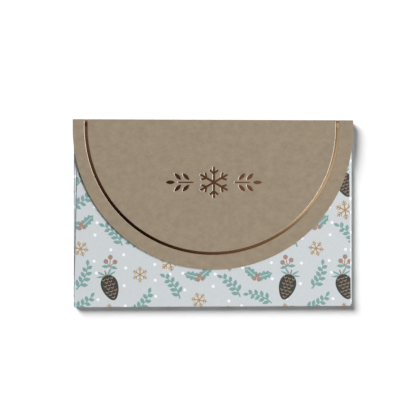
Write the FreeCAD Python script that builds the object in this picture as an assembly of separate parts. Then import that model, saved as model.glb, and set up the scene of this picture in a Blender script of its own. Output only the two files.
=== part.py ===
# Gift card holder: a pocket folded from printed card, closed by a round flap of taupe card.
# It lies on its back. +X is to the right, +Y towards the fold of the flap, +Z out of its front.
# The origin is the centre of its footprint, on the outer face of the back panel. Millimetres.

import FreeCAD
import Part
import math
import os

from FreeCAD import Vector

# Overall size and paper
WIDTH = 114.3
HEIGHT = 76.2
CARD = 0.45
LINER = 0.30
GLUE = 0.05
FOLD_RADIUS = 0.55
POCKET_DEPTH = 2.10
FLAP_GAP = 0.25
FLAP_OVERHANG = 0.30

# Pocket sheet
MOUTH_DROP = 8.0
LEFT_TAPER = 1.75
LEFT_INSET = 0.20
RIGHT_TAPER = 1.20
RIGHT_INSET = 0.45
NOTCH_HALF_WIDTH = 9.0
NOTCH_DEPTH = 6.5
TAB_WIDTH = 13.0
TAB_MITRE = 5.0
CORNER_GAP = 0.3
SEAM_WIDTH = 6.0
SEAM_INSET = 4.5

# Flap sheet
FLAP_STRAIGHT = 3.9
CREASE_GAP = 0.275
CREASE_CLEARANCE = 0.05
TONGUE_LENGTH = 16.0
TONGUE_INSET = 1.65
TONGUE_MITRE = 4.0
LINER_INSET = 0.8
LINER_SETBACK = 1.5
GLUE_INSET = 1.0

# Foil stamping
STAMP_DEPTH = 0.15
FOIL = 0.06
LINE_RADIUS = 51.2
LINE_WIDTH = 1.65
LINE_SHIFT_X = -0.57
LINE_SHIFT_Y = 0.67
ORNAMENT_Y = 12.6
FLAKE_RADIUS = 6.6
FLAKE_BAR = 1.25
FLAKE_FORK = 3.6
FLAKE_BRANCH = 2.4
FLAKE_BRANCH_ANGLE = 50.0
SPRIG_START = 8.2
SPRIG_LENGTH = 11.0
STEM_WIDTH = 0.9
LEAF_LENGTH = 4.4
LEAF_WIDTH = 1.9
LEAF_ANGLE = 45.0
LEAF_PAIRS = 2
LEAF_STAND_OFF = 0.75

# Magnets and the paper over them
MAGNET_Y = -9.0
MAGNET_RADIUS = 5.0
POCKET_MAGNET = 0.35
MAGNET_CLEARANCE = 0.1
COVER = 0.12
COVER_WALL = 0.2
COVER_BRIM = 3.8
DOT_RADIUS = 7.5
DOT = 0.10

# Heights of the layers, from the table up
TAB_Z = CARD + POCKET_DEPTH
SEAM_Z = TAB_Z + CARD
FRONT_Z = SEAM_Z + GLUE
FRONT_TOP = FRONT_Z + CARD
LINER_Z = FRONT_TOP + FLAP_GAP
FLAP_GLUE_Z = LINER_Z + LINER
FLAP_Z = FLAP_GLUE_Z + GLUE
FLAP_TOP = FLAP_Z + CARD
TONGUE_Z = CARD + GLUE

# Lines that several pieces share
HALF_WIDTH = WIDTH / 2
HALF_HEIGHT = HEIGHT / 2
POCKET_RIGHT = HALF_WIDTH - FLAP_OVERHANG
FLAT_RIGHT = POCKET_RIGHT - FOLD_RADIUS
FRONT_LEFT = -POCKET_RIGHT + LEFT_INSET
FRONT_RIGHT = POCKET_RIGHT - RIGHT_INSET
FLAT_BOTTOM = -HALF_HEIGHT + FOLD_RADIUS
MOUTH_Y = HALF_HEIGHT - MOUTH_DROP
CREASE_Y = HALF_HEIGHT - CARD / 2
LOWER_CREASE_Z = TONGUE_Z + CARD / 2
UPPER_CREASE_Z = FLAP_Z + CARD / 2
FLAP_START = CREASE_Y - CREASE_GAP
ARC_Y = HALF_HEIGHT - FLAP_STRAIGHT
SIDE_LOW = FLAT_BOTTOM + CORNER_GAP
SIDE_HIGH = FLAP_START - CORNER_GAP


def line(start, end):
    return Part.LineSegment(Vector(*start), Vector(*end)).toShape()


def arc(start, middle, end):
    return Part.Arc(Vector(*start), Vector(*middle), Vector(*end)).toShape()


def closed_lines(points):
    """Straight edges from each point to the next, and back to the first."""
    return [line(a, b) for a, b in zip(points, points[1:] + points[:1])]


def slab(edges, thickness):
    """A flat sheet of the closed outline, thickened upwards."""
    return Part.Face(Part.Wire(edges)).extrude(Vector(0, 0, thickness))


def magnet_disc(radius, z, thickness):
    """A round piece at the place of the magnets."""
    return Part.makeCylinder(radius, thickness, Vector(0, MAGNET_Y, z))


def mirrored(shape):
    """The same piece on the other side of the middle."""
    return shape.mirror(Vector(0, 0, 0), Vector(1, 0, 0))


def folded_wall(height, length):
    """A wall between two rounded folds, standing at x = 0 with its inside towards -X, along +Y."""
    inner = FOLD_RADIUS - CARD
    low = FOLD_RADIUS
    high = height - FOLD_RADIUS
    diagonal = math.sqrt(0.5)

    def bend(centre_z, radius, side):
        """The middle of a quarter circle, in the plane of the wall's section."""
        return (-low + radius * diagonal, 0, centre_z + side * radius * diagonal)

    edges = [
        arc((-low, 0, 0), bend(low, FOLD_RADIUS, -1), (0, 0, low)),
        line((0, 0, low), (0, 0, high)),
        arc((0, 0, high), bend(high, FOLD_RADIUS, 1), (-low, 0, height)),
        line((-low, 0, height), (-low, 0, height - CARD)),
        arc((-low, 0, height - CARD), bend(high, inner, 1), (-CARD, 0, high)),
        line((-CARD, 0, high), (-CARD, 0, low)),
        arc((-CARD, 0, low), bend(low, inner, -1), (-low, 0, CARD)),
        line((-low, 0, CARD), (-low, 0, 0)),
    ]
    return Part.Face(Part.Wire(edges)).extrude(Vector(0, length, 0))


def back_panel():
    points = [
        (-FLAT_RIGHT, FLAT_BOTTOM, 0),
        (FLAT_RIGHT, FLAT_BOTTOM, 0),
        (FLAT_RIGHT, HALF_HEIGHT, 0),
        (-FLAT_RIGHT, HALF_HEIGHT, 0),
    ]
    return slab(closed_lines(points), CARD)


def right_side_wall():
    wall = folded_wall(SEAM_Z, SIDE_HIGH - SIDE_LOW)
    wall.translate(Vector(POCKET_RIGHT, SIDE_LOW, 0))
    return wall


def bottom_wall():
    wall = folded_wall(FRONT_TOP, FRONT_RIGHT - FRONT_LEFT)
    wall.rotate(Vector(0, 0, 0), Vector(0, 0, 1), -90)
    wall.translate(Vector(FRONT_LEFT, -HALF_HEIGHT, 0))
    return wall


def right_side_tab():
    inner = FLAT_RIGHT - TAB_WIDTH
    points = [
        (FLAT_RIGHT, SIDE_LOW, TAB_Z),
        (FLAT_RIGHT, SIDE_HIGH, TAB_Z),
        (inner, SIDE_HIGH - TAB_MITRE, TAB_Z),
        (inner, SIDE_LOW + TAB_MITRE, TAB_Z),
    ]
    return slab(closed_lines(points), CARD)


def right_seam_glue():
    outer = POCKET_RIGHT - SEAM_INSET
    low = SIDE_LOW + TAB_MITRE
    high = MOUTH_Y - SEAM_INSET
    points = [
        (outer - SEAM_WIDTH, low, SEAM_Z),
        (outer, low, SEAM_Z),
        (outer, high, SEAM_Z),
        (outer - SEAM_WIDTH, high, SEAM_Z),
    ]
    return slab(closed_lines(points), GLUE)


def front_panel():
    """Set in a little from the side folds, tapered towards the mouth, with a thumb notch in its top."""
    low_left = (FRONT_LEFT, FLAT_BOTTOM, FRONT_Z)
    low_right = (FRONT_RIGHT, FLAT_BOTTOM, FRONT_Z)
    high_right = (POCKET_RIGHT - RIGHT_TAPER, MOUTH_Y, FRONT_Z)
    high_left = (-POCKET_RIGHT + LEFT_TAPER, MOUTH_Y, FRONT_Z)
    notch_right = (NOTCH_HALF_WIDTH, MOUTH_Y, FRONT_Z)
    notch_left = (-NOTCH_HALF_WIDTH, MOUTH_Y, FRONT_Z)
    edges = [
        line(low_left, low_right),
        line(low_right, high_right),
        line(high_right, notch_right),
        arc(notch_right, (0, MOUTH_Y - NOTCH_DEPTH, FRONT_Z), notch_left),
        line(notch_left, high_left),
        line(high_left, low_left),
    ]
    return slab(edges, CARD)


def tongue_outline(inset, z):
    half = HALF_WIDTH - TONGUE_INSET - inset
    high = FLAP_START - inset
    low = FLAP_START - TONGUE_LENGTH + inset
    return closed_lines([
        (-half, high, z),
        (-half, low + TONGUE_MITRE, z),
        (-half + TONGUE_MITRE, low, z),
        (half - TONGUE_MITRE, low, z),
        (half, low + TONGUE_MITRE, z),
        (half, high, z),
    ])


def flap_outline(radius, high, z, shift_x=0.0, shift_y=0.0):
    """Straight sides down from the crease, joined by a half circle."""
    left = shift_x - radius
    right = shift_x + radius
    middle = ARC_Y + shift_y
    return [
        line((left, high, z), (left, middle, z)),
        arc((left, middle, z), (shift_x, middle - radius, z), (right, middle, z)),
        line((right, middle, z), (right, high, z)),
        line((right, high, z), (left, high, z)),
    ]


def crease(half_length, z):
    """The rolled bead of paper along a scored fold, which is what the fold turns about."""
    radius = CREASE_GAP - CREASE_CLEARANCE
    start = Vector(-half_length, CREASE_Y, z)
    return Part.makeCylinder(radius, 2 * half_length, start, Vector(1, 0, 0))


def top_wall():
    low = LOWER_CREASE_Z + CREASE_GAP
    high = UPPER_CREASE_Z - CREASE_GAP
    return Part.makeBox(WIDTH, CARD, high - low, Vector(-HALF_WIDTH, HALF_HEIGHT - CARD, low))


def line_stamp(z, thickness):
    """The foil line: a band along the flap's round edge, a little off its centre, where the die struck."""

    def inside(radius):
        return slab(flap_outline(radius, FLAP_START, z, LINE_SHIFT_X, LINE_SHIFT_Y), thickness)

    return inside(LINE_RADIUS + LINE_WIDTH / 2).cut(inside(LINE_RADIUS - LINE_WIDTH / 2))


def bar(length, width, z, thickness, angle, start=(0.0, 0.0)):
    """A straight stroke from the start point, at an angle from +X in degrees."""
    stroke = Part.makeBox(length, width, thickness, Vector(0, -width / 2, z))
    stroke.rotate(Vector(0, 0, 0), Vector(0, 0, 1), angle)
    stroke.translate(Vector(start[0], start[1], 0))
    return stroke


def flake_stamp(z, thickness):
    """Six arms, each with a pair of branches."""
    strokes = []
    for number in range(6):
        angle = 90 + 60 * number
        along = math.radians(angle)
        fork = (FLAKE_FORK * math.cos(along), FLAKE_FORK * math.sin(along))
        strokes.append(bar(FLAKE_RADIUS, FLAKE_BAR, z, thickness, angle))
        for side in (-1, 1):
            branch_angle = angle + side * FLAKE_BRANCH_ANGLE
            strokes.append(bar(FLAKE_BRANCH, FLAKE_BAR, z, thickness, branch_angle, fork))
    flake = strokes[0].multiFuse(strokes[1:]).removeSplitter()
    flake.translate(Vector(0, ORNAMENT_Y, 0))
    return flake


def leaf(z, thickness, angle, start):
    """A pointed leaf between two arcs, from its start point along the angle."""
    tip = (LEAF_LENGTH, 0, z)
    root = (0, 0, z)
    edges = [
        arc(root, (LEAF_LENGTH / 2, LEAF_WIDTH / 2, z), tip),
        arc(tip, (LEAF_LENGTH / 2, -LEAF_WIDTH / 2, z), root),
    ]
    blade = slab(edges, thickness)
    blade.rotate(Vector(0, 0, 0), Vector(0, 0, 1), angle)
    blade.translate(Vector(start[0], start[1], 0))
    return blade


def sprig_stamp(z, thickness):
    """A stem with paired leaves on each side of the flake, pointing outwards."""
    pitch = (SPRIG_LENGTH - LEAF_LENGTH) / LEAF_PAIRS
    pieces = [bar(SPRIG_LENGTH - LEAF_LENGTH, STEM_WIDTH, z, thickness, 0, (SPRIG_START, ORNAMENT_Y))]
    for number in range(LEAF_PAIRS):
        x = SPRIG_START + pitch * (number + 0.5)
        for side in (-1, 1):
            root = (x, ORNAMENT_Y + side * LEAF_STAND_OFF)
            pieces.append(leaf(z, thickness, side * LEAF_ANGLE, root))
    tip = (SPRIG_START + SPRIG_LENGTH - LEAF_LENGTH + LEAF_STAND_OFF, ORNAMENT_Y)
    pieces.append(leaf(z, thickness, 0, tip))
    return Part.makeCompound(pieces + [mirrored(piece) for piece in pieces])


def flap_face():
    sheet = slab(flap_outline(HALF_WIDTH, FLAP_START, FLAP_Z), CARD)
    bed = FLAP_TOP - STAMP_DEPTH
    for stamp in (line_stamp, flake_stamp, sprig_stamp):
        sheet = sheet.cut(stamp(bed, STAMP_DEPTH))
    return sheet


def flap_liner():
    radius = HALF_WIDTH - LINER_INSET
    sheet = slab(flap_outline(radius, FLAP_START - LINER_SETBACK, LINER_Z), LINER)
    return sheet.cut(magnet_disc(MAGNET_RADIUS + MAGNET_CLEARANCE, LINER_Z, LINER))


def flap_glue():
    radius = HALF_WIDTH - LINER_INSET - GLUE_INSET
    return slab(flap_outline(radius, FLAP_START - LINER_SETBACK - GLUE_INSET, FLAP_GLUE_Z), GLUE)


def pocket_magnet_cover():
    """A pressed paper cap: a brim glued to the front panel, and a raised middle over the magnet."""
    wall = MAGNET_RADIUS + MAGNET_CLEARANCE / 2
    crown = FRONT_Z - POCKET_MAGNET - COVER
    outline = [
        (0, 0, crown),
        (wall + COVER_WALL, 0, crown),
        (wall + COVER_WALL, 0, FRONT_Z - COVER),
        (wall + COVER_BRIM, 0, FRONT_Z - COVER),
        (wall + COVER_BRIM, 0, FRONT_Z),
        (wall, 0, FRONT_Z),
        (wall, 0, crown + COVER),
        (0, 0, crown + COVER),
    ]
    section = Part.Face(Part.Wire(closed_lines(outline)))
    cap = section.revolve(Vector(0, 0, 0), Vector(0, 0, 1), 360)
    cap.translate(Vector(0, MAGNET_Y, 0))
    return cap


def build():
    foil_z = FLAP_TOP - STAMP_DEPTH
    side_wall = right_side_wall()
    side_tab = right_side_tab()
    seam_glue = right_seam_glue()
    return {
        "back_panel": back_panel(),
        "right_side_wall": side_wall,
        "left_side_wall": mirrored(side_wall),
        "right_side_tab": side_tab,
        "left_side_tab": mirrored(side_tab),
        "bottom_wall": bottom_wall(),
        "right_seam_glue": seam_glue,
        "left_seam_glue": mirrored(seam_glue),
        "front_panel": front_panel(),
        "pocket_magnet": magnet_disc(MAGNET_RADIUS, FRONT_Z - POCKET_MAGNET, POCKET_MAGNET),
        "pocket_magnet_cover": pocket_magnet_cover(),
        "flap_tongue": slab(tongue_outline(0, TONGUE_Z), CARD),
        "tongue_glue": slab(tongue_outline(GLUE_INSET, CARD), GLUE),
        "lower_crease": crease(HALF_WIDTH - TONGUE_INSET, LOWER_CREASE_Z),
        "top_wall": top_wall(),
        "upper_crease": crease(HALF_WIDTH, UPPER_CREASE_Z),
        "flap_face": flap_face(),
        "flap_glue": flap_glue(),
        "flap_liner": flap_liner(),
        "flap_magnet": magnet_disc(MAGNET_RADIUS, LINER_Z, LINER),
        "flap_magnet_cover": magnet_disc(DOT_RADIUS, LINER_Z - DOT, DOT),
        "foil_line": line_stamp(foil_z, FOIL),
        "foil_snowflake": flake_stamp(foil_z, FOIL),
        "foil_sprigs": sprig_stamp(foil_z, FOIL),
    }


def main():
    os.makedirs("parts", exist_ok=True)
    for name, shape in build().items():
        box = shape.BoundBox
        sizes = f"{box.XLength:.2f} x {box.YLength:.2f} x {box.ZLength:.2f} mm"
        print(f"{name}: {sizes}, {shape.Volume:.2f} mm3, {len(shape.Solids)} solid, valid {shape.isValid()}")
        shape.exportStep(f"parts/{name}.step")


main()
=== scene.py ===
# %% [markdown]
# A gift card holder, dressed in Blender.
#
# The holder is a flat pocket folded from one printed card, and a round flap of taupe card that turns on
# two creases along its top edge. A foil line and a foil ornament are stamped into the flap. The solid
# model gives every size and place, so this lesson loads it first and builds better finished pieces around
# it, in the same frame: +X to the right, +Y towards the fold of the flap, +Z out of the front.

# %% Load the frame
import math

import bpy
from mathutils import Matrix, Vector
from mathutils.geometry import delaunay_2d_cdt


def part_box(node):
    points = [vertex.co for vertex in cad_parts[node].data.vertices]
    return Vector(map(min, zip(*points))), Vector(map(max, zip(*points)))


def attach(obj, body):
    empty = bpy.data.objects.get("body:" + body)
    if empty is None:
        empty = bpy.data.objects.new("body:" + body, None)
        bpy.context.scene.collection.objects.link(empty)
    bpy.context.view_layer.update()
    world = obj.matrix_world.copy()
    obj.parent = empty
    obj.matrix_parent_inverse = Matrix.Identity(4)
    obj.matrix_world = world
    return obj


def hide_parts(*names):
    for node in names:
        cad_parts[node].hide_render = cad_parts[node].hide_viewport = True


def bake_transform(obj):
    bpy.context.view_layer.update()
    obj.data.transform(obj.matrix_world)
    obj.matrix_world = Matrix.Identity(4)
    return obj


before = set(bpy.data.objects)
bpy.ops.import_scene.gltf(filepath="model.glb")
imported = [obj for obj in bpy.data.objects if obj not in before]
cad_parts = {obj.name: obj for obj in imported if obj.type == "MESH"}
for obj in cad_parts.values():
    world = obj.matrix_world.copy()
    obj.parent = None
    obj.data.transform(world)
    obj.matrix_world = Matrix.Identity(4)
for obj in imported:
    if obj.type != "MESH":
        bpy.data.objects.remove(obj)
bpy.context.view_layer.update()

MM = 0.001

# %% [markdown]
# Paper is measured in millimetres and tenths of them, so the sizes below are read from the solids in
# millimetres, and turned to metres only when a mesh is made. Reading them, rather than typing them again,
# keeps each piece on the solid that it stands for.

# %% Sizes of the solids


def box_mm(node):
    """The lowest and highest corner of a solid, in millimetres."""
    low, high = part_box(node)
    return low / MM, high / MM


back_low, back_high = box_mm("back_panel")
front_low, front_high = box_mm("front_panel")
tab_low, tab_high = box_mm("right_side_tab")
wall_low, wall_high = box_mm("right_side_wall")
bottom_low, bottom_high = box_mm("bottom_wall")
flap_low, flap_high = box_mm("flap_face")
liner_low, liner_high = box_mm("flap_liner")
top_low, top_high = box_mm("top_wall")
tongue_low, tongue_high = box_mm("flap_tongue")
line_low, line_high = box_mm("foil_line")
flake_low, flake_high = box_mm("foil_snowflake")

CARD = back_high.z
FLAT_HALF = back_high.x
FLAT_BOTTOM = back_low.y
FOLD_RADIUS = wall_high.x - back_high.x
FRONT_TOP = front_high.z
TAB_TOP = tab_high.z
FLAP_HALF = flap_high.x
FLAP_TOP = flap_high.z
FLAP_START = flap_high.y
FLAP_CENTRE = Vector((0, flap_low.y + FLAP_HALF))
pocket_width = 2 * (FLAT_HALF + FOLD_RADIUS)
print(f"pocket {pocket_width:.1f} mm wide, flap {2 * FLAP_HALF:.1f} mm wide, card {CARD:.2f} mm thick")

# %% [markdown]
# Every finish here is paper, print, foil or glue, so a few helpers serve them all. Colours are given as
# sRGB hex codes, and one function turns them into the linear values that a shader works with.
# Pattern scales come from a real size in millimetres. One more function adds a node with its settings and
# links.

# %% Helpers for finishes


def linear(hex_code):
    """An sRGB hex colour as linear red, green, blue and alpha."""
    shares = [int(hex_code[i:i + 2], 16) / 255 for i in (1, 3, 5)]
    return [c / 12.92 if c <= 0.04045 else ((c + 0.055) / 1.055) ** 2.4 for c in shares] + [1.0]


def per_mm(size_mm):
    """The texture scale at which one feature is about this many millimetres."""
    return 1 / (size_mm * MM)


def add_node(tree, kind, settings=None, links=None):
    """A new node, with inputs or attributes set by name and inputs linked by name."""
    node = tree.nodes.new(kind)
    for name, value in (settings or {}).items():
        if name in node.inputs:
            node.inputs[name].default_value = value
        else:
            setattr(node, name, value)
    for name, output in (links or {}).items():
        tree.links.new(output, node.inputs[name])
    return node


print("the middle grey #808080 is", round(linear("#808080")[0], 3), "in linear light")

# %% [markdown]
# Card is pressed wood fibre. Close up it shows fibres in two near tones, lying more one way than the
# other, and a faint relief that breaks up the light. A flat colour would look like plastic, and a picture
# of paper would repeat and blur. So one recipe makes every finish here: a noise of a real grain size
# mixes two near tones, and the same noise varies the shine and raises the relief, because on paper all
# three come from the same fibres.

# %% The recipe of a finish
SHINE_SPREAD = 0.13
TONE_STOPS = (0.3, 0.7)
MATT_SPECULAR = 0.3


def grained(name, tones, grain_mm, roughness, relief_mm, run=1.0, specular=0.5, metallic=0.0):
    """Two tones in a grain of a given size, which is some times longer along Y than across."""
    material = bpy.data.materials.new(name)
    material.use_nodes = True
    tree = material.node_tree
    shader = tree.nodes["Principled BSDF"]
    shader.inputs["Specular IOR Level"].default_value = specular
    shader.inputs["Metallic"].default_value = metallic
    place = add_node(tree, "ShaderNodeTexCoord")
    lie = add_node(
        tree, "ShaderNodeMapping", {"Scale": (1, 1 / run, 1)}, {"Vector": place.outputs["Object"]}
    )
    grain = add_node(
        tree, "ShaderNodeTexNoise", {"Scale": per_mm(grain_mm), "Detail": 5.0, "Roughness": 0.75},
        {"Vector": lie.outputs["Vector"]},
    )
    colour = add_node(tree, "ShaderNodeValToRGB", links={"Fac": grain.outputs["Fac"]})
    for element, position, tone in zip(colour.color_ramp.elements, TONE_STOPS, tones):
        element.position = position
        element.color = linear(tone)
    shine = add_node(
        tree, "ShaderNodeMapRange",
        {"To Min": roughness * (1 - SHINE_SPREAD), "To Max": roughness * (1 + SHINE_SPREAD)},
        {"Value": grain.outputs["Fac"]},
    )
    relief = add_node(
        tree, "ShaderNodeBump", {"Strength": 0.5, "Distance": relief_mm * MM},
        {"Height": grain.outputs["Fac"]},
    )
    tree.links.new(colour.outputs["Color"], shader.inputs["Base Color"])
    tree.links.new(shine.outputs["Result"], shader.inputs["Roughness"])
    tree.links.new(relief.outputs["Normal"], shader.inputs["Normal"])
    return material


print("roughness varies by", round(100 * SHINE_SPREAD), "percent over the grain")

# %% [markdown]
# The pocket is offset print on matt coated board. The coating hides most of the fibre, so the two tones
# of an ink lie close together and the face is matt with a faint sheen. Each ink is a finish of its own,
# because the print is made of separate faces further down.

# %% Printed board
# The fibres under the coating are about 0.2 mm across, too fine to show in the render, so they are drawn
# coarser.
PRINT_GRAIN_MM = 0.6
FIBRE_RUN = 2.5
INK_TONES = {
    "pale": ("#CCD1D4", "#D5DADD"),
    "teal": ("#78A19E", "#86ACA8"),
    "charcoal": ("#33342D", "#404139"),
    "gold": ("#A8844D", "#B99660"),
    "rose": ("#9D8273", "#AD9283"),
    "white": ("#F5F8FD", "#FCFDFF"),
}
INK_NAMES = list(INK_TONES)
inks = [
    grained(f"coated_board_{ink}_ink", tones, PRINT_GRAIN_MM, 0.55, 0.01, FIBRE_RUN, MATT_SPECULAR)
    for ink, tones in INK_TONES.items()
]
# The uncoated back of the board is open fibre, whiter and rougher than the print.
board_back = grained(
    "uncoated_board_back", ("#E3E1DA", "#EFEDE7"), 0.9, 0.85, 0.03, FIBRE_RUN, MATT_SPECULAR
)
# Its cut edge shows the same fibre end on, a little darker.
board_edge = grained("cut_board_edge", ("#D9D7CF", "#E6E4DD"), 0.3, 0.9, 0.02, specular=MATT_SPECULAR)
print("inks:", ", ".join(INK_NAMES))

# %% [markdown]
# The flap is card dyed right through, so its cut edge has the colour of its face. Its pulp settles in
# soft clouds a few millimetres across, which show as a faint mottle. Behind it is a plain lining paper.

# %% Taupe card and lining paper
CLOUD_MM = 2.8
CLOUD_RUN = 0.87
TAUPE = ("#91826F", "#A3937C")
taupe_card = grained("dyed_taupe_card", TAUPE, CLOUD_MM, 0.75, 0.012, CLOUD_RUN, MATT_SPECULAR)
# Under the edge of the hot die the same card is ironed smooth, and takes a low shine.
ironed_card = grained("ironed_taupe_card", TAUPE, CLOUD_MM, 0.3, 0.002, CLOUD_RUN, specular=0.9)
# Unbleached lining paper: ivory, matt and a little fibrous.
liner_paper = grained(
    "ivory_lining_paper", ("#DCD5C6", "#E9E3D6"), 0.8, 0.85, 0.02, FIBRE_RUN, MATT_SPECULAR
)
print("taupe from", TAUPE[0], "to", TAUPE[1])

# %% [markdown]
# Hot-stamping foil is a metal film a few thousandths of a millimetre thick, pressed into the card by a
# heated die. It is a mirror under a copper lacquer, dulled a little by the card's grain under it. Metal
# has no colour but what it reflects, so its tones are the copper tint and its roughness is low. Glue and
# magnet sheet are hidden in the closed holder, and get the same care in case someone takes it apart.

# %% Foil, glue and magnet sheet
# Mirror-smooth metal under a clear copper lacquer: it shows light and dark surroundings as gold and near
# black.
FOIL_ROUGHNESS = 0.075
FOIL_TONES = ("#C49C75", "#CAA47F")
copper_foil = grained("copper_stamping_foil", FOIL_TONES, 0.5, FOIL_ROUGHNESS, 0.0002, metallic=1.0)
# Paper glue dries to a yellowish, half glossy film with slow waves in it.
dried_glue = grained("dried_paper_glue", ("#E0D7BD", "#ECE5D1"), 1.5, 0.4, 0.02)
# Magnet sheet is ferrite powder in rubber: dark brown, matt and finely speckled.
magnet_sheet = grained("ferrite_magnet_sheet", ("#302B28", "#3E3934"), 0.4, 0.6, 0.02)
print("foil roughness:", FOIL_ROUGHNESS)

# %% [markdown]
# All card pieces begin as flat outlines, as they do on a cutting table. Round stretches are points on an
# arc, close enough that the eye sees a curve. To sink a stamp, or roll a cut edge, the outline is also
# needed a little further in, so one function moves any outline inwards.

# %% Outlines
ARC_STEPS = 120
MITRE_LIMIT = 0.3


def circle(radius, steps=14):
    """Points round a circle about the origin."""
    angles = [math.tau * i / steps for i in range(steps)]
    return [radius * Vector((math.cos(a), math.sin(a))) for a in angles]


def rectangle(left, low, right, high):
    """Four corners, counter-clockwise."""
    return [Vector(p) for p in ((left, low), (right, low), (right, high), (left, high))]


def moved(outline, x=0.0, y=0.0, turn=0.0, scale=1.0):
    """The outline scaled, turned by degrees and set down at a place."""
    c = scale * math.cos(math.radians(turn))
    s = scale * math.sin(math.radians(turn))
    return [Vector((x + c * p.x - s * p.y, y + s * p.x + c * p.y)) for p in outline]


def inset(outline, distance):
    """A counter-clockwise outline moved inwards, corner by corner."""
    result = []
    for before, here, after in zip(outline[-1:] + outline[:-1], outline, outline[1:] + outline[:1]):
        along = (here - before).normalized()
        onward = (after - here).normalized()
        left = Vector((-along.y, along.x))
        middle = (left + Vector((-onward.y, onward.x))).normalized()
        result.append(here + middle * (distance / max(middle.dot(left), MITRE_LIMIT)))
    return result


def u_curve(centre, radius, high):
    """Down the left side, round a half circle and up the right side."""
    bow = [math.pi + math.pi * i / ARC_STEPS for i in range(ARC_STEPS + 1)]
    points = [centre + radius * Vector((math.cos(a), math.sin(a))) for a in bow]
    return [Vector((centre.x - radius, high))] + points + [Vector((centre.x + radius, high))]


print(f"one step round the flap's edge is {math.pi * FLAP_HALF / ARC_STEPS:.2f} mm")

# %% [markdown]
# A printed or stamped sheet is one mesh whose faces follow the print. A constrained Delaunay
# triangulation does this: given the sheet's outline and each printed shape, it returns triangles that
# never cross a line, and says which shapes each one lies in. The alternative, a painted texture, would
# blur at close range.

# %% From flat outlines to triangles
MERGE_MM = 0.0005


def triangulate(outline, shapes=(), lines=()):
    """Flat points, triangles inside the outline, and for each triangle the shapes that it lies in."""
    points = []
    loops = []
    edges = []
    for loop in [outline, *shapes]:
        loops.append(list(range(len(points), len(points) + len(loop))))
        points.extend(loop)
    for line in lines:
        edges.extend((i, i + 1) for i in range(len(points), len(points) + len(line) - 1))
        points.extend(line)
    flat, _, triangles, _, _, sources = delaunay_2d_cdt(points, edges, loops, 0, MERGE_MM, True)
    kept = [i for i, source in enumerate(sources) if 0 in source]
    return flat, [triangles[i] for i in kept], [[s - 1 for s in sources[i] if s] for i in kept]


trial = triangulate(rectangle(-2, -2, 2, 2), [circle(1.0)])
print("a square with a dot:", len(trial[1]), "triangles,", sum(map(bool, trial[2])), "of them in the dot")

# %% [markdown]
# The triangles become a sheet of real thickness: a face side, a back side and the cut edge between them.
# Where each flat point goes in space is a function's business, so the same code makes a flat panel and
# one bent round a fold. An edge is drawn sharp from a certain angle on, which lies above the small steps
# of a rounded fold and below the slope of a stamp's walls.

# %% From triangles to a sheet
SHARP_ANGLE = math.radians(12)


def new_piece(name, points, faces, slots, materials):
    """A mesh object from points in millimetres, with a material slot for each face."""
    mesh = bpy.data.meshes.new(name)
    mesh.from_pydata([p * MM for p in points], [], faces)
    mesh.polygons.foreach_set("material_index", slots)
    mesh.polygons.foreach_set("use_smooth", [True] * len(faces))
    for material in materials:
        mesh.materials.append(material)
    mesh.set_sharp_from_angle(angle=SHARP_ANGLE)
    piece = bpy.data.objects.new(name, mesh)
    bpy.context.scene.collection.objects.link(piece)
    return piece


def sheet(name, cut, place, thickness, face_slots, back_slot, edge_slot, materials, heights=None):
    """The triangulated cut, put in place and given thickness. Heights sink or raise points of the face."""
    flat, triangles, _ = cut
    used = sorted({corner for triangle in triangles for corner in triangle})
    number = {corner: i for i, corner in enumerate(used)}
    face_points = []
    back_points = []
    for corner in used:
        point, normal = place(flat[corner])
        rise = heights(flat[corner]) if heights else 0.0
        face_points.append(point + normal * rise)
        back_points.append(point - normal * thickness)
    count = len(used)
    faces = []
    rim = {}
    for triangle in triangles:
        a, b, c = (number[corner] for corner in triangle)
        faces.append((a, b, c))
        for edge in ((a, b), (b, c), (c, a)):
            if edge[::-1] in rim:
                del rim[edge[::-1]]
            else:
                rim[edge] = True
    backs = [(c + count, b + count, a + count) for a, b, c in faces]
    edges = [(b, a, a + count, b + count) for a, b in rim]
    slots = list(face_slots) + [back_slot] * len(backs) + [edge_slot] * len(edges)
    return new_piece(name, face_points + back_points, faces + backs + edges, slots, materials)


def flat_at(z):
    """A place function for a panel that lies level with its face up."""
    return lambda p: (Vector((p.x, p.y, z)), Vector((0, 0, 1)))


def stand_for(piece, body, node):
    """Lets a piece move with a body, and hides the solid that it stands for."""
    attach(piece, body)
    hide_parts(node)


print("edges are sharp from", round(math.degrees(SHARP_ANGLE)), "degrees on")

# %% [markdown]
# The print on the pocket is a small winter pattern: bowed teal twigs, holly, charcoal pine cones, gold
# flakes, rose berries and white snow dots. Each motif is a few flat shapes in millimetres, drawn about
# its own middle. They share a pointed leaf, a tapered stroke and a way to step along a heading.

# %% Shapes that the motifs share


def blade(length, width, steps=6):
    """A pointed leaf from the origin upwards."""
    shares = [i / steps for i in range(1, steps)]
    right = [Vector((width / 2 * math.sin(math.pi * share), length * share)) for share in shares]
    left = [Vector((-p.x, p.y)) for p in reversed(right)]
    return [Vector((0, 0))] + right + [Vector((0, length))] + left


def stroke(length, base, tip):
    """A straight line that tapers from its base to its tip, from the origin upwards."""
    return [Vector(p) for p in ((base / 2, 0), (tip / 2, length), (-tip / 2, length), (-base / 2, 0))]


def egg(length, width, steps=28):
    """A rounded shape about the origin, fuller at the top."""
    angles = [math.tau * i / steps for i in range(steps)]
    halves = [width / 2 * (1 - 0.25 * math.cos(a)) for a in angles]
    return [Vector((half * math.sin(a), -length / 2 * math.cos(a))) for a, half in zip(angles, halves)]


def ahead(x, y, turn, distance):
    """The place at a distance from another, along a heading in degrees from straight up."""
    return x - distance * math.sin(math.radians(turn)), y + distance * math.cos(math.radians(turn))


print("points in a leaf, a stroke and an egg:", [len(s) for s in (blade(3, 1), stroke(3, 1, 1), egg(3, 2))])

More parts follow.
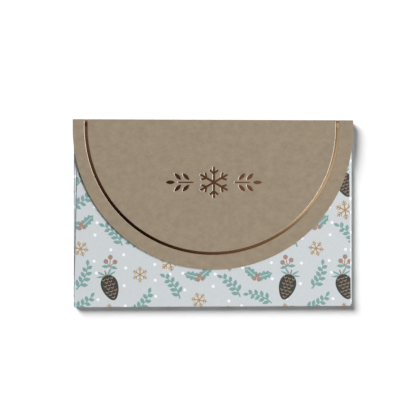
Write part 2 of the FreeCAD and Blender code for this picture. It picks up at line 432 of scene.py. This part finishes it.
# %% [markdown]
# Each motif lists its shapes with the name of their ink. Where shapes overlap, the later one prints over
# the earlier, as plates do on a press, so a berry can sit on a leaf without a hole cut for it.

# %% Motifs of the print


def twig():
    """A bowed teal twig with leaves on alternate sides and one at its tip."""
    shapes = []
    x, y, turn = 1.6, -6.0, -14.0
    for step in range(9):
        width = 0.6 - 0.03 * step
        shapes.append(("teal", moved(stroke(1.3, width, width - 0.03), x, y, turn)))
        if step:
            side = 1 if step % 2 else -1
            shapes.append(("teal", moved(blade(3.5 - 0.14 * step, 1.55), x, y, turn + 54 * side)))
        x, y = ahead(x, y, turn, 1.2)
        turn += 5.0
    shapes.append(("teal", moved(blade(2.7, 1.4), x, y, turn)))
    return shapes


def holly():
    """Two prickly leaves with a pale rib each, and three berries where they meet."""
    prickles = ((0.1, 0.4), (0.22, 0.95), (0.36, 0.6), (0.5, 1.0), (0.63, 0.55), (0.76, 0.8), (0.87, 0.32))
    length, width = 6.6, 4.0
    right = [Vector((share * width / 2, along * length)) for along, share in prickles]
    leaf = [Vector((0, 0)), *right, Vector((0, length)), *[Vector((-p.x, p.y)) for p in reversed(right)]]
    shapes = []
    for turn in (-62, 62):
        rib = stroke(length * 0.72, 0.35, 0.2)
        shapes.append(("teal", moved(leaf, 0, -1.4, turn)))
        shapes.append(("pale", moved(rib, *ahead(0, -1.4, turn, 0.9), turn)))
    berry_places = ((-0.95, -2.0), (0.95, -2.0), (0, -0.5))
    return shapes + [("rose", moved(circle(0.9, 12), x, y)) for x, y in berry_places]


def pine_cone():
    """A charcoal egg with its scales in a diamond lattice, on a rose stalk among teal needles."""
    length, width, column_width, row_height = 10.6, 6.8, 1.7, 1.3
    shapes = [("teal", moved(blade(4.4, 0.8), 0, 4.8, turn)) for turn in (-78, -46, 46, 78)]
    shapes.append(("rose", moved(stroke(2.8, 0.8, 0.5), 0, 4.6)))
    shapes.append(("charcoal", egg(length, width)))
    for row, count in enumerate((1, 2, 3, 2, 3, 2, 3)):
        y = -length / 2 + row_height * (row + 0.7)
        for number in range(count):
            x = (number - (count - 1) / 2) * column_width
            shapes += [("rose", moved(stroke(0.9, 0.34, 0.22), x, y, lean)) for lean in (-50, 50)]
    return shapes


def flake():
    """Six gold arms with two pairs of branches each."""
    shapes = [("gold", circle(0.6, 10))]
    for turn in range(0, 360, 60):
        shapes.append(("gold", moved(stroke(4.1, 0.55, 0.35), turn=turn)))
        for distance, length in ((1.9, 1.5), (2.9, 1.0)):
            place = ahead(0, 0, turn, distance)
            branch = stroke(length, 0.42, 0.32)
            shapes += [("gold", moved(branch, *place, turn + lean)) for lean in (-50, 50)]
    return shapes


def berries():
    """Three rose berries on short stalks, with a teal leaf on each side."""
    shapes = [("teal", moved(blade(3.0, 1.2), 0, -1.8, turn)) for turn in (-96, 96)]
    for turn, length in ((-40, 2.6), (4, 3.5), (44, 2.4)):
        shapes.append(("rose", moved(stroke(length, 0.35, 0.3), 0, -1.8, turn)))
        shapes.append(("rose", moved(circle(0.9, 12), *ahead(0, -1.8, turn, length))))
    return shapes


def snow_dot():
    """One white dot."""
    return [("white", circle(0.65, 12))]


MOTIFS = (twig, holly, pine_cone, flake, berries, snow_dot)
print("shapes in each motif:", {motif.__name__: len(motif()) for motif in MOTIFS})

# %% [markdown]
# The motifs repeat in a half-drop tile, as on wrapping paper: each column of tiles starts half a tile
# lower than the one before it, which hides the grid. The tile is laid out on the flat sheet before
# folding, so a motif that meets a fold runs round it and one that meets a cut edge is cut off there.

# %% Layout of the print
TILE_WIDTH = 48.0
TILE_HEIGHT = 42.0
TILE_SHIFT = 9.2
# Each motif with its place in the tile, its turn in degrees and its scale.
TILE_MOTIFS = (
    (twig, 6.0, 2.6, 36, 1.0), (flake, 6.0, 13.1, 8, 1.0), (pine_cone, 6.0, 23.6, 18, 1.0),
    (berries, 6.0, 34.1, -8, 1.1), (holly, 18.0, 7.9, -12, 1.0), (twig, 18.0, 18.4, -46, 1.0),
    (flake, 18.0, 28.9, 0, 0.8), (twig, 18.0, 39.4, 62, 0.95), (pine_cone, 30.0, 2.6, -16, 1.0),
    (berries, 30.0, 13.1, 10, 1.1), (twig, 30.0, 23.6, 28, 1.0), (flake, 30.0, 34.1, 14, 1.0),
    (twig, 42.0, 7.9, -32, 1.0), (flake, 42.0, 18.4, 20, 0.8), (holly, 42.0, 28.9, 14, 1.0),
    (twig, 42.0, 39.4, -66, 0.95),
)
TILE_DOTS = (
    (11.8, 10.6), (23.6, 12.6), (36.0, 12.4), (47.4, 13.4), (12.0, 16.2), (24.0, 6.0),
    (35.6, 4.0), (0.6, 8.0), (11.6, 24.4), (24.2, 26.6), (36.2, 22.6), (47.8, 24.0),
    (12.2, 31.6), (24.0, 33.0), (35.4, 29.4), (0.4, 29.6), (11.4, 37.0), (24.4, 20.0),
    (36.4, 35.0), (47.6, 35.4), (1.0, 18.8), (30.2, 29.0), (6.2, 39.0), (30.0, 40.0),
)
MOTIF_REACH = 9.0


def print_shapes(low, high):
    """The ink names and outlines of all the motifs that reach into a stretch of the flat sheet."""
    drawn = [(snow_dot, x, y, 0, 1.0) for x, y in TILE_DOTS] + list(TILE_MOTIFS)
    found = []
    for column in range(math.floor(low.x / TILE_WIDTH) - 1, math.ceil(high.x / TILE_WIDTH) + 1):
        for row in range(math.floor(low.y / TILE_HEIGHT) - 2, math.ceil(high.y / TILE_HEIGHT) + 2):
            left = column * TILE_WIDTH
            base = row * TILE_HEIGHT - (column % 2) * TILE_HEIGHT / 2 + TILE_SHIFT
            for motif, tile_x, tile_y, turn, scale in drawn:
                x = left + tile_x
                y = base + tile_y
                near_x = low.x - MOTIF_REACH < x < high.x + MOTIF_REACH
                near_y = low.y - MOTIF_REACH < y < high.y + MOTIF_REACH
                if near_x and near_y:
                    found += [(ink, moved(shape, x, y, turn, scale)) for ink, shape in motif()]
    return found


print("in a tile:", len(TILE_MOTIFS), "motifs and", len(TILE_DOTS), "dots")

# %% [markdown]
# The pocket is one sheet. On the flat sheet the back panel hangs below the front panel, with the bottom
# wall between them, and the side walls and tabs are wings on the back panel. Each panel is cut from that
# sheet and put where its solid is: flat, or wrapped round the two rounded folds of a narrow wall.
# Wrapping by formula keeps the print in step across a fold, which bending a finished mesh would not.

# %% Folding the pocket sheet
FOLD_STEPS = 9
QUARTER = FOLD_RADIUS * math.pi / 2
BOTTOM_LENGTH = 2 * QUARTER + FRONT_TOP - 2 * FOLD_RADIUS
SIDE_LENGTH = 2 * QUARTER + TAB_TOP - 2 * FOLD_RADIUS
BACK_EDGE = FLAT_BOTTOM - BOTTOM_LENGTH


def wrapped(distance, height):
    """How far out and up the outside of a wall is at a distance from the back, and which way it faces."""
    straight = height - 2 * FOLD_RADIUS
    if distance <= QUARTER:
        angle = distance / FOLD_RADIUS
        out = FOLD_RADIUS * math.sin(angle)
        return out, FOLD_RADIUS * (1 - math.cos(angle)), math.sin(angle), -math.cos(angle)
    if distance <= QUARTER + straight:
        return FOLD_RADIUS, FOLD_RADIUS + distance - QUARTER, 1.0, 0.0
    angle = (distance - QUARTER - straight) / FOLD_RADIUS
    out = FOLD_RADIUS * math.cos(angle)
    up = height - FOLD_RADIUS + FOLD_RADIUS * math.sin(angle)
    return out, up, math.cos(angle), math.sin(angle)


def fold_stations(height):
    """The distances from the back at which a wall needs a row of points to bend smoothly."""
    bends = [QUARTER * i / FOLD_STEPS for i in range(FOLD_STEPS + 1)]
    straight = height - 2 * FOLD_RADIUS
    return bends[1:] + [QUARTER + straight + bend for bend in bends[:-1]]


def back_y(v):
    """The height on the back panel of a row of the flat sheet."""
    return FLAT_BOTTOM + BACK_EDGE - v


def on_bottom_wall(p):
    """Where a point of the flat sheet lies on the bottom wall, and which way it faces there."""
    out, up, out_normal, up_normal = wrapped(p.y - BACK_EDGE, FRONT_TOP)
    return Vector((p.x, FLAT_BOTTOM - out, up)), Vector((0, -out_normal, up_normal))


def on_back_panel(p):
    """The same for the back panel, which faces down."""
    return Vector((p.x, back_y(p.y), 0)), Vector((0, 0, -1))


def on_side_wall(p):
    """The same for either side wall."""
    out, up, out_normal, up_normal = wrapped(abs(p.x) - FLAT_HALF, TAB_TOP)
    side = math.copysign(1, p.x)
    return Vector((side * (FLAT_HALF + out), back_y(p.y), up)), Vector((side * out_normal, 0, up_normal))


def on_side_tab(p):
    """The same for either side tab, which is folded back inwards."""
    x = math.copysign(2 * FLAT_HALF + SIDE_LENGTH - abs(p.x), p.x)
    return Vector((x, back_y(p.y), TAB_TOP)), Vector((0, 0, 1))


print(f"card round the bottom wall {BOTTOM_LENGTH:.2f} mm, round a side wall {SIDE_LENGTH:.2f} mm")

# %% [markdown]
# Cutting a panel out of the sheet is the same job for all seven panels: find the motifs that reach it,
# triangulate them with its outline, and give every triangle the ink of the last shape that it lies in.

# %% Cutting the pocket sheet
BOARD = inks + [board_back, board_edge]
BACK_SLOT = BOARD.index(board_back)
EDGE_SLOT = BOARD.index(board_edge)


def printed_panel(name, outline, place, lines=()):
    """A panel of the pocket sheet, with the print that falls on it, in place of its solid."""
    low = Vector((min(p.x for p in outline), min(p.y for p in outline)))
    high = Vector((max(p.x for p in outline), max(p.y for p in outline)))
    shapes = print_shapes(low, high)
    cut = triangulate(outline, [shape for _, shape in shapes], lines)
    ink_of = [INK_NAMES.index(ink) for ink, _ in shapes]
    slots = [ink_of[max(inside)] if inside else 0 for inside in cut[2]]
    panel = sheet(name, cut, place, CARD, slots, BACK_SLOT, EDGE_SLOT, BOARD)
    stand_for(panel, "pocket", name.removesuffix("_print"))
    print(f"{name}: {len(shapes)} printed shapes, {len(panel.data.polygons)} faces")


print("finishes on the board:", len(BOARD))

# %% [markdown]
# The front panel shows most. Its sides taper a little towards the mouth, and a thumb notch is cut into
# its top edge, which shows when the flap is open. The corners of the mouth are read from the solid, and
# the notch is an arc.

# %% Front panel
NOTCH_HALF_WIDTH = 9.0
NOTCH_DEPTH = 6.5
NOTCH_STEPS = 24
ON_EDGE_MM = 0.01


def mouth_corners():
    """The left and right end of the front panel's top edge."""
    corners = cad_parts["front_panel"].data.vertices
    along = [v.co.x / MM for v in corners if abs(v.co.y / MM - front_high.y) < ON_EDGE_MM]
    return min(along), max(along)


def notch_points():
    """The round of the thumb notch, from its right end to its left."""
    radius = (NOTCH_HALF_WIDTH ** 2 + NOTCH_DEPTH ** 2) / (2 * NOTCH_DEPTH)
    centre_y = front_high.y - NOTCH_DEPTH + radius
    half_angle = math.asin(NOTCH_HALF_WIDTH / radius)
    angles = [half_angle - 2 * half_angle * i / NOTCH_STEPS for i in range(NOTCH_STEPS + 1)]
    return [Vector((radius * math.sin(a), centre_y - radius * math.cos(a))) for a in angles]


mouth_left, mouth_right = mouth_corners()
front_outline = [
    Vector((front_low.x, FLAT_BOTTOM)), Vector((front_high.x, FLAT_BOTTOM)),
    Vector((mouth_right, front_high.y)), *notch_points(), Vector((mouth_left, front_high.y)),
]
printed_panel("front_panel_print", front_outline, flat_at(FRONT_TOP))

# %% [markdown]
# The bottom wall joins the front panel to the back panel. It needs a row of points at each small step of
# its two folds, so those rows go into the triangulation as extra lines. The back panel is a plain
# rectangle.

# %% Bottom wall and back panel
bottom_lines = [
    [Vector((bottom_low.x, BACK_EDGE + station)), Vector((bottom_high.x, BACK_EDGE + station))]
    for station in fold_stations(FRONT_TOP)
]
bottom_outline = rectangle(bottom_low.x, BACK_EDGE, bottom_high.x, FLAT_BOTTOM)
printed_panel("bottom_wall_print", bottom_outline, on_bottom_wall, bottom_lines)
back_outline = rectangle(back_low.x, back_y(back_high.y), back_high.x, BACK_EDGE)
printed_panel("back_panel_print", back_outline, on_back_panel)

# %% [markdown]
# The two side walls and tabs mirror each other in shape, but the print runs on across the sheet, so each
# side gets its own. The tabs have mitred ends, so that they slip past the corners when the pocket is
# folded.

# %% Side walls and tabs
TAB_MITRE = 5.0
tab_width = tab_high.x - tab_low.x
row_low = back_y(wall_high.y)
row_high = back_y(wall_low.y)
for side_name, side in (("left", -1), ("right", 1)):
    inner = side * FLAT_HALF
    outer = inner + side * SIDE_LENGTH
    wall_outline = rectangle(min(inner, outer), row_low, max(inner, outer), row_high)
    wall_lines = [
        [Vector((inner + side * station, row_low)), Vector((inner + side * station, row_high))]
        for station in fold_stations(TAB_TOP)
    ]
    printed_panel(f"{side_name}_side_wall_print", wall_outline, on_side_wall, wall_lines)
    tip = outer + side * tab_width
    tab_outline = [
        Vector((outer, row_low)), Vector((tip, row_low + TAB_MITRE)), Vector((tip, row_high - TAB_MITRE)),
        Vector((outer, row_high)),
    ]
    printed_panel(f"{side_name}_side_tab_print", tab_outline[::side], on_side_tab)

# %% [markdown]
# The flap is stamped: a heated die presses the foil line and the ornament a little less than a tenth of a
# millimetre into the card. The foil sticks to the bed. The walls slope, and the hot die irons them
# smooth, so where they face the lamp they show as a thin bright line. Relief in a shader could fake this
# from one side only, so it is real: the line is drawn as several curves side by side, each at its own
# depth, and each shape of the ornament as its rim and the edge of its bed.

# %% Shape of the stamped line
WALL_ANGLE = math.radians(18)
LINE_WIDTH = 1.65
LINE_HALF = (line_high.x - line_low.x) / 2
LINE_RADIUS = LINE_HALF - LINE_WIDTH / 2
LINE_CENTRE = Vector(((line_low.x + line_high.x) / 2, line_low.y + LINE_HALF))
LINE_RIM = LINE_WIDTH / 2
LINE_BED = 0.61
LINE_CORE = 0.1
LINE_DEPTH = (LINE_RIM - LINE_BED) * math.tan(WALL_ANGLE)
LINE_DISH = 0.004
LINE_PROFILE = ((LINE_RIM, 0.0), (LINE_BED, -LINE_DEPTH), (LINE_CORE, -LINE_DEPTH - LINE_DISH))
LINE_RUN_OUT = 0.4
STAMP_SLOPE = 0.2
STAMP_DEPTH = STAMP_SLOPE * math.tan(WALL_ANGLE)
print(f"line {LINE_DEPTH:.3f} mm deep, ornament {STAMP_DEPTH:.3f} mm deep")

# %% [markdown]
# The ornament is a snowflake between two leafy sprigs. The flake could be a union of bars, but its rim is
# needed as one closed outline to be sunk, so it is worked out from the corners of half an arm, mirrored
# and turned six times.

# %% Flake of the ornament
ORNAMENT_Y = (flake_low.y + flake_high.y) / 2
FLAKE_RADIUS = (flake_high.y - flake_low.y) / 2
FLAKE_BAR = 1.25
FLAKE_FORK = 3.6
FLAKE_BRANCH = 2.4
FLAKE_BRANCH_ANGLE = math.radians(50)


def flake_outline():
    """The outline of six arms, each with a pair of branches."""
    half = FLAKE_BAR / 2
    c = math.cos(FLAKE_BRANCH_ANGLE)
    s = math.sin(FLAKE_BRANCH_ANGLE)
    lower = half * (1 - c) / s
    upper = half * (1 + c) / s
    right = [
        (half, half * math.sqrt(3)),
        (half, FLAKE_FORK - half * s + lower * c),
        (half * c + FLAKE_BRANCH * s, FLAKE_FORK - half * s + FLAKE_BRANCH * c),
        (-half * c + FLAKE_BRANCH * s, FLAKE_FORK + half * s + FLAKE_BRANCH * c),
        (half, FLAKE_FORK + half * s + upper * c),
        (half, FLAKE_RADIUS),
    ]
    arm = [Vector(p) for p in right] + [Vector((-x, y)) for x, y in reversed(right[1:])]
    points = [p for number in range(6) for p in moved(arm, turn=60 * number)]
    return moved(points, 0, ORNAMENT_Y)


print("corners of the flake:", len(flake_outline()))

# %% [markdown]
# Each sprig is a straight stem, two pairs of leaves that stand a little off it, and one leaf at its tip.
# A die maker keeps such gaps, so that the hot foil doesn't bridge them.

# %% Sprigs of the ornament
SPRIG_START = 8.2
SPRIG_LENGTH = 11.0
STEM_WIDTH = 0.9
LEAF_LENGTH = 4.4
LEAF_WIDTH = 1.9
LEAF_ANGLE = 45.0
LEAF_PAIRS = 2
LEAF_STAND_OFF = 0.75
LEAF_STEPS = 10


def lens(length, width):
    """A leaf between two arcs, from the origin along +X, counter-clockwise."""
    sagitta = width / 2
    radius = (length ** 2 / 4 + sagitta ** 2) / (2 * sagitta)
    half_angle = math.asin(length / 2 / radius)
    angles = [-half_angle + 2 * half_angle * i / LEAF_STEPS for i in range(LEAF_STEPS + 1)]
    chord = radius * math.cos(half_angle)
    low = [Vector((length / 2 + radius * math.sin(a), chord - radius * math.cos(a))) for a in angles]
    high = [Vector((p.x, -p.y)) for p in reversed(low[1:-1])]
    return low + high


def sprig_outlines():
    """The stem and leaves of both sprigs beside the flake."""
    stem_length = SPRIG_LENGTH - LEAF_LENGTH
    pitch = stem_length / LEAF_PAIRS
    stem = rectangle(SPRIG_START, -STEM_WIDTH / 2, SPRIG_START + stem_length, STEM_WIDTH / 2)
    shapes = [moved(stem, 0, ORNAMENT_Y)]
    leaf = lens(LEAF_LENGTH, LEAF_WIDTH)
    for number in range(LEAF_PAIRS):
        x = SPRIG_START + pitch * (number + 0.5)
        for side in (-1, 1):
            shapes.append(moved(leaf, x, ORNAMENT_Y + side * LEAF_STAND_OFF, side * LEAF_ANGLE))
    shapes.append(moved(leaf, SPRIG_START + stem_length + LEAF_STAND_OFF, ORNAMENT_Y))
    return shapes + [[Vector((-p.x, p.y)) for p in reversed(shape)] for shape in shapes]


print("shapes of the sprigs:", len(sprig_outlines()))

# %% [markdown]
# The flap's face is cut with all those curves in it, and a table of depths says how far each point of a
# curve is pressed in. The rim of the card gets one more curve just inside the cut, so that the cut edge
# can roll over softly, as a steel rule leaves it.

# %% Flap
EDGE_ROLL = 0.07
EDGE_DROP = 0.042
depth_at = {}


def spot(p):
    """A point's key in the table of depths."""
    return round(p.x, 3), round(p.y, 3)


def pressed(curve, depth):
    """Notes the depth of each point of a curve, and hands the curve on."""
    depth_at.update({spot(p): depth for p in curve})
    return curve


def groove(offset, depth):
    """A curve beside the middle of the line, at its depth but for the two ends at the crease."""
    curve = u_curve(LINE_CENTRE, LINE_RADIUS + offset, FLAP_START)
    run_out = Vector((0, LINE_RUN_OUT))
    return [curve[0], *pressed([curve[0] - run_out, *curve[1:-1], curve[-1] - run_out], depth), curve[-1]]


def flap_depth(p):
    """How far a point of the flap's face is pressed in."""
    return depth_at.get(spot(p), 0.0)


flap_outline = u_curve(FLAP_CENTRE, FLAP_HALF, FLAP_START)
rim_line = u_curve(FLAP_CENTRE, FLAP_HALF - EDGE_ROLL, FLAP_START)
pressed(flap_outline[1:-1], -EDGE_DROP)
line_curves = {
    side * offset: groove(side * offset, depth) for offset, depth in LINE_PROFILE for side in (-1, 1)
}
rims = [line_curves[LINE_RIM] + line_curves[-LINE_RIM][::-1], flake_outline(), *sprig_outlines()]
beds = [line_curves[LINE_BED] + line_curves[-LINE_BED][::-1]]
beds += [pressed(inset(rim, STAMP_SLOPE), -STAMP_DEPTH) for rim in rims[1:]]
flap_cut = triangulate(flap_outline, rims + beds, [rim_line, *line_curves.values()])
flap_slots = [1 if inside else 0 for inside in flap_cut[2]]
flap = sheet(
    "flap_card", flap_cut, flat_at(FLAP_TOP), CARD, flap_slots, 0, 0, [taupe_card, ironed_card], flap_depth
)
stand_for(flap, "flap", "flap_face")
print("flap:", len(flap.data.polygons), "faces,", len(depth_at), "stamped points")

# %% [markdown]
# The foil lies on the bed of the stamp, so it is cut from the same triangles as the flap: those inside
# the bed of the line, the flake or the sprigs. It is lifted just clear of the card and given a film's
# thickness.

# %% Foil
FOIL_LIFT = 0.012
FOIL_FILM = 0.008


def on_foil(p):
    """Where a point of the flap lies on the foil."""
    return Vector((p.x, p.y, FLAP_TOP + flap_depth(p) + FOIL_LIFT)), Vector((0, 0, 1))


def foil_piece(name, node, wanted):
    """The film over the stamped shapes with these numbers."""
    flat, triangles, sources = flap_cut
    kept = [i for i, inside in enumerate(sources) if wanted.intersection(inside)]
    cut = (flat, [triangles[i] for i in kept], [sources[i] for i in kept])
    film = sheet(name, cut, on_foil, FOIL_FILM, [0] * len(kept), 0, 0, [copper_foil])
    stand_for(film, "flap", node)
    print(f"{name}: {len(film.data.polygons)} faces")


line_bed, flake_bed, *sprig_beds = range(len(rims), len(rims) + len(beds))
foil_piece("foil_line_film", "foil_line", {line_bed})
foil_piece("foil_snowflake_film", "foil_snowflake", {flake_bed})
foil_piece("foil_sprigs_film", "foil_sprigs", set(sprig_beds))

# %% [markdown]
# A creased card bends round a quarter circle when it is folded and lies flat when it is opened. The strip
# of card in the bend belongs to neither side, and a rigid strip on either body would tear away from the
# other, so here it is a quarter ring of its own, built as the holder lies closed and moved with neither
# body. The foil line runs over the upper crease in the same way.

# %% Creases
CREASE_STEPS = 10
CREASE_OUTER = top_high.y - FLAP_START
CREASE_INNER = flap_low.z - top_high.z


def bend_strip(name, centre_y, centre_z, inner, outer, left, right, first_angle, material):
    """A quarter ring along X, from the first angle to a right angle further on."""
    angles = [first_angle + math.pi / 2 * i / CREASE_STEPS for i in range(CREASE_STEPS + 1)]
    section = [(outer, angle) for angle in angles] + [(inner, angle) for angle in reversed(angles)]
    points = [
        Vector((x, centre_y + radius * math.cos(angle), centre_z + radius * math.sin(angle)))
        for x in (left, right) for radius, angle in section
    ]
    count = len(section)
    faces = [(i, (i + 1) % count, (i + 1) % count + count, i + count) for i in range(count)]
    for i in range(CREASE_STEPS):
        quad = (i, i + 1, count - 2 - i, count - 1 - i)
        faces.append(quad[::-1])
        faces.append(tuple(corner + count for corner in quad))
    print(f"{name}: {len(faces)} faces")
    return new_piece(name, points, faces, [0] * len(faces), [material])


upper_crease = bend_strip(
    "upper_crease_bend", FLAP_START, top_high.z, CREASE_INNER, CREASE_OUTER, -FLAP_HALF, FLAP_HALF,
    0, taupe_card,
)
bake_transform(upper_crease)
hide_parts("upper_crease")
lower_crease = bend_strip(
    "lower_crease_bend", tongue_high.y, top_low.z, CREASE_INNER, CREASE_OUTER, tongue_low.x, tongue_high.x,
    -math.pi / 2, taupe_card,
)
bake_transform(lower_crease)
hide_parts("lower_crease")
for side_name, side in (("left", -1), ("right", 1)):
    middle = LINE_CENTRE.x + side * LINE_RADIUS
    turn = bend_strip(
        f"foil_line_{side_name}_turn", FLAP_START, top_high.z, CREASE_OUTER + FOIL_LIFT - FOIL_FILM,
        CREASE_OUTER + FOIL_LIFT, middle - LINE_BED, middle + LINE_BED, 0, copper_foil,
    )
    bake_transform(turn)

# %% [markdown]
# The liner is a second, thinner paper glued behind the flap. It hides the magnet and stiffens the flap,
# and it stops a little short of the flap's edge all round. Its face looks down, so it is placed mirrored.

# %% Liner


def under(z):
    """A place function for a panel that lies level with its face down."""
    return lambda p: (Vector((-p.x, p.y, z)), Vector((0, 0, -1)))


liner_cut = triangulate(u_curve(FLAP_CENTRE, liner_high.x, liner_high.y))
LINER = liner_high.z - liner_low.z
liner_slots = [0] * len(liner_cut[1])
liner = sheet("flap_liner_paper", liner_cut, under(liner_low.z), LINER, liner_slots, 0, 0, [liner_paper])
stand_for(liner, "flap", "flap_liner")
print(f"liner {LINER:.2f} mm thick, {len(liner.data.polygons)} faces")

# %% [markdown]
# The pieces that are right as solids keep their shape and only get their finish: the tongue and the top
# wall of the taupe sheet, the glue films, the magnets and the paper over them.

# %% Finish of the other solids
FINISHES = {
    "flap_tongue": taupe_card, "top_wall": taupe_card, "flap_magnet_cover": liner_paper,
    "pocket_magnet_cover": liner_paper, "pocket_magnet": magnet_sheet, "flap_magnet": magnet_sheet,
    "left_seam_glue": dried_glue, "right_seam_glue": dried_glue, "tongue_glue": dried_glue,
    "flap_glue": dried_glue,
}
for node, finish in FINISHES.items():
    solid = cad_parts[node]
    solid.data.materials.clear()
    solid.data.materials.append(finish)
print("finished solids:", len(FINISHES))

# %% [markdown]
# The stage is a white table, one large face just under the holder, painted matt. It throws light back at
# the holder's sides, as a photographer's table does, which keeps the folds bright on the side away from
# the lamp. A faint glow of its own keeps the holder's shadow as pale as a studio's walls would.

# %% Table
FLOOR_HALF = 1.5
FLOOR_DROP = 0.00002
TABLE_GLOW = 0.04
corners = rectangle(-FLOOR_HALF, -FLOOR_HALF, FLOOR_HALF, FLOOR_HALF)
floor_mesh = bpy.data.meshes.new("table")
floor_mesh.from_pydata([(p.x, p.y, -FLOOR_DROP) for p in corners], [], [(0, 1, 2, 3)])
# Matt white paint: nearly even, with a slow change of tone from the roller.
table_top = grained("white_table_top", ("#D6D6D6", "#DADADA"), 5.0, 0.8, 0.0)
table_top.node_tree.nodes["Principled BSDF"].inputs["Emission Strength"].default_value = TABLE_GLOW
floor_mesh.materials.append(table_top)
floor = bpy.data.objects.new("table", floor_mesh)
bpy.context.scene.collection.objects.link(floor)
print("table", 2 * FLOOR_HALF, "m square")

# %% [markdown]
# The holder is lit by a wide soft lamp half way up on the right, as by a row of windows. It stands far
# off, so that the light is even, and it is low from top to bottom, so that the flap still casts a thin
# shadow on its left. It stands where the sloping walls of the stamp mirror it. The table has a light of
# its own from the upper left, a sun with a wide disc. A sun doesn't fall off with distance, so the table
# is white all over, and the wide disc softens the shadow that the holder throws to the right and below.

# %% Lamps


def hang_lamp(light, azimuth, elevation, distance, table_state):
    """Aims a light at the holder, and lets it light the table alone, or all but the table."""
    a = math.radians(azimuth)
    e = math.radians(elevation)
    direction = Vector((math.cos(a) * math.cos(e), math.sin(a) * math.cos(e), math.sin(e)))
    lamp = bpy.data.objects.new(light.name, light)
    lamp.location = direction * distance
    lamp.rotation_euler = direction.to_track_quat("Z", "Y").to_euler()
    bpy.context.scene.collection.objects.link(lamp)
    group = bpy.data.collections.new(f"{light.name}_receivers")
    group.objects.link(floor)
    group.collection_objects[0].light_linking.link_state = table_state
    lamp.light_linking.receiver_collection = group
    print(f"{light.name}: {light.energy}, {azimuth} degrees from +X, {elevation} degrees up")


window_light = bpy.data.lights.new("window_lamp", "AREA")
window_light.shape = "ELLIPSE"
window_light.size = 4.8
window_light.size_y = 1.6
window_light.energy = 268.0
hang_lamp(window_light, azimuth=-1, elevation=51, distance=5.0, table_state="EXCLUDE")
table_light = bpy.data.lights.new("table_lamp", "SUN")
table_light.angle = math.radians(30)
table_light.energy = 6.13
hang_lamp(table_light, azimuth=134, elevation=38, distance=3.0, table_state="INCLUDE")

# %% [markdown]
# Foil shows what it mirrors. Straight above the table hangs a bright soft screen with a dark opening that
# the camera looks through, so foil that mirrors the opening is near black, and foil that mirrors the
# screen shines. The world paints that screen by the angle from the middle of the opening, and further
# down a pale backdrop. So bright a sky would wash out every fold, so light on its way to a matt face
# meets an even grey instead, which fills the shadows. The Light Path node tells the two apart.

# %% World
OPENING = Vector((-0.011, -0.011, 1)).normalized()
SCREEN_REACH = 60.0
FILL_TONE = "#7C7C7C"
# Degrees from the middle of the opening, and the tone there.
SCREEN = (
    (0.0, "#050202"), (1.3, "#0C0505"), (2.4, "#3E2A24"), (4.35, "#705C53"), (6.3, "#8A766A"),
    (7.5, "#867266"), (8.25, "#A2A49E"), (8.8, "#F5FFFF"), (10.4, "#F5FFFF"), (11.0, "#C8CCD0"),
    (11.5, "#A0A0A0"), (14.0, "#919191"), (35.0, "#919191"), (SCREEN_REACH, "#F4F4F4"),
)
world = bpy.data.worlds.new("studio")
world.use_nodes = True
sky = world.node_tree
view = add_node(sky, "ShaderNodeTexCoord")
near = add_node(sky, "ShaderNodeVectorMath", {"operation": "DOT_PRODUCT"}, {0: view.outputs["Generated"]})
near.inputs[1].default_value = OPENING
angle = add_node(sky, "ShaderNodeMath", {"operation": "ARCCOSINE"}, {0: near.outputs["Value"]})
reach = add_node(
    sky, "ShaderNodeMapRange", {"From Max": math.radians(SCREEN_REACH)}, {"Value": angle.outputs["Value"]}
)
screen = add_node(sky, "ShaderNodeValToRGB", links={"Fac": reach.outputs["Result"]})
stops = screen.color_ramp.elements
for degrees, _ in SCREEN[1:-1]:
    stops.new(degrees / SCREEN_REACH)
for stop, (_, tone) in zip(stops, SCREEN):
    stop.color = linear(tone)
fill = sky.nodes["Background"]
fill.inputs["Color"].default_value = linear(FILL_TONE)
backdrop = add_node(sky, "ShaderNodeBackground", links={"Color": screen.outputs["Color"]})
path = add_node(sky, "ShaderNodeLightPath")
seen = add_node(
    sky, "ShaderNodeMath", {"operation": "MAXIMUM"},
    {0: path.outputs["Is Camera Ray"], 1: path.outputs["Is Glossy Ray"]},
)
either = add_node(
    sky, "ShaderNodeMixShader",
    links={0: seen.outputs["Value"], 1: fill.outputs["Background"], 2: backdrop.outputs["Background"]},
)
sky.links.new(either.outputs["Shader"], sky.nodes["World Output"].inputs["Surface"])
bpy.context.scene.world = world
bpy.context.scene.view_settings.view_transform = "Standard"
print("stops of the screen:", len(stops))

# %% [markdown]
# The photograph looks straight down at the holder from a little to its left, so its left side comes out a
# touch taller than its right. The camera stands where that happens, and its lens frames the same stretch
# of table.

# %% Camera
CAMERA_DISTANCE = 0.45
CAMERA_YAW = math.radians(3.1)
FRAME_WIDTH = 0.1692
AIM = Vector((-2.39, 2.16, FLAP_TOP)) * MM
camera_data = bpy.data.cameras.new("camera")
camera_data.sensor_width = 36.0
camera_data.lens = camera_data.sensor_width * CAMERA_DISTANCE / FRAME_WIDTH
camera_data.clip_start = 0.01
camera = bpy.data.objects.new("camera", camera_data)
camera.location = AIM + CAMERA_DISTANCE * Vector((-math.sin(CAMERA_YAW), 0, math.cos(CAMERA_YAW)))
camera.rotation_euler = (0, -CAMERA_YAW, 0)
bpy.context.scene.collection.objects.link(camera)
bpy.context.scene.camera = camera
print("lens:", round(camera_data.lens, 1), "mm")
